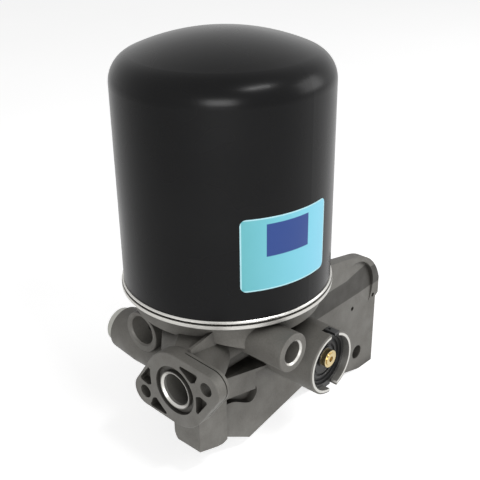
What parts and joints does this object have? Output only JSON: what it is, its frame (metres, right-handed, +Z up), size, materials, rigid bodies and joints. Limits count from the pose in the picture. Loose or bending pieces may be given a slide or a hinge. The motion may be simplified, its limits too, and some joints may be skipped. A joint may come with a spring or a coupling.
{
  "type": "air dryer",
  "caption": "Air dryer for a compressed-air brake system: a tall spin-on desiccant cartridge on a cast body with flanged inlet, threaded ports, governor and mounting bracket.",
  "frame": {"origin": "centre of the exhaust port's mouth, on the cartridge's axis at the foot of the casting", "axes": "+Z up along the cartridge's axis, +X towards the governor, +Y towards the mounting face; the inlet flange faces -Y"},
  "size_m": [0.156, 0.2104, 0.2785],
  "materials": {
    "casting": "satin",
    "black_paint": "satin",
    "bright_steel": "satin",
    "steel": "satin",
    "rubber": "matte",
    "fleece": "matte",
    "desiccant": "matte",
    "spring_steel": "satin",
    "mesh": "matte",
    "label": "satin",
    "black_plastic": "satin",
    "black_steel": "satin",
    "brass": "satin",
    "aluminium": "satin",
    "grey_plastic": "matte"
  },
  "bodies": {
    "dryer": {"housing": "casting", "cartridge_shell": "black_paint", "seam_ring": "bright_steel", "cartridge_base_plate": "steel", "cartridge_gasket": "rubber", "threaded_nipple": "steel", "nipple_seal": "rubber", "desiccant_cup": "steel", "lower_sieve": "steel", "lower_fleece": "fleece", "desiccant_bed": "desiccant", "upper_fleece": "fleece", "upper_sieve": "steel", "bed_spring": "spring_steel", "oil_separator_ring": "mesh", "cartridge_label": "label", "governor_cover": "black_plastic", "snap_ring": "black_steel", "adjusting_screw": "brass", "lock_nut": "brass", "governor_spring_seat": "steel", "governor_spring": "spring_steel", "valve_cap": "aluminium", "valve_cap_seal": "rubber", "check_valve_spring": "spring_steel", "purge_seat_ring": "aluminium", "purge_spring": "spring_steel", "exhaust_sleeve": "grey_plastic", "exhaust_clip": "bright_steel"},
    "check_valve": {"check_valve_poppet": "grey_plastic"},
    "purge_valve": {"purge_piston": "aluminium", "purge_piston_seal": "rubber", "purge_valve_disc": "rubber"},
    "governor_piston": {"governor_piston": "aluminium", "governor_piston_seal": "rubber"}
  },
  "joints": [
    {"name": "check_valve_slide", "type": "slide", "parent": "dryer", "child": "check_valve", "axis": [-1, 0, 0], "range_m": [0, 0.003], "stiffness_N_per_m": 200, "springref_m": -0.004, "deforming": ["check_valve_spring"]},
    {"name": "purge_valve_slide", "type": "slide", "parent": "dryer", "child": "purge_valve", "axis": [0, 0, -1], "range_m": [0, 0.003], "stiffness_N_per_m": 2000, "springref_m": -0.005, "deforming": ["purge_spring"]},
    {"name": "governor_piston_slide", "type": "slide", "parent": "dryer", "child": "governor_piston", "axis": [1, 0, 0], "range_m": [0, 0.002], "stiffness_N_per_m": 5000, "springref_m": -0.005, "deforming": ["governor_spring"]}
  ]
}
